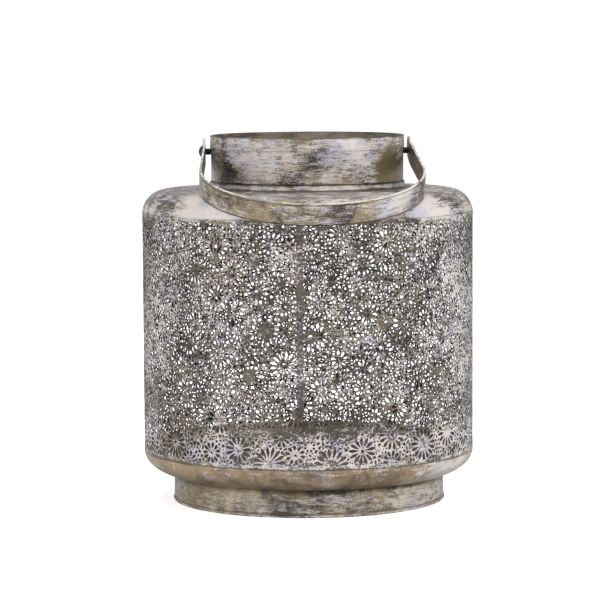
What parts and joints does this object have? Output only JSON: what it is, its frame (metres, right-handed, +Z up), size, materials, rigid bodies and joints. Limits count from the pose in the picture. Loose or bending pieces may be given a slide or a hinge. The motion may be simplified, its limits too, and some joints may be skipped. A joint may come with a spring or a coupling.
{
  "type": "punched tin lantern",
  "caption": "Round pierced-metal candle lantern with daisy filigree walls, rounded shoulder, open neck, foot ring and a swinging flat strap handle.",
  "frame": {"origin": "where the upright axis of the lantern body meets the surface that the foot ring stands on", "axes": "+Z up along the body's axis, -Y towards the front where the handle rests, X along the line of the handle's two rivets"},
  "size_m": [0.28, 0.3112, 0.3087],
  "materials": {
    "weathered_tin": "thin whitewash brushed over antique brass-toned tin",
    "antique_gold": "olive-gold antique tin with worn whitewash",
    "dark_iron": "blackened iron"
  },
  "bodies": {
    "lantern_body": {"foot_ring": "weathered_tin", "bottom_pan": "antique_gold", "perforated_sleeve": "weathered_tin", "sleeve_seam_strip": "weathered_tin", "shoulder_cap": "weathered_tin", "neck_collar": "weathered_tin", "rivet_left": "weathered_tin", "rivet_right": "weathered_tin", "rivet_spacer_left": "dark_iron", "rivet_spacer_right": "dark_iron", "rivet_washer_left": "dark_iron", "rivet_washer_right": "dark_iron"},
    "handle": {"bail_handle": "weathered_tin"}
  },
  "joints": [
    {"name": "handle_swing", "type": "hinge", "parent": "lantern_body", "child": "handle", "pos_m": [0, 0, 0.295], "axis": [-1, 0, 0], "range_deg": [0, 209]}
  ]
}
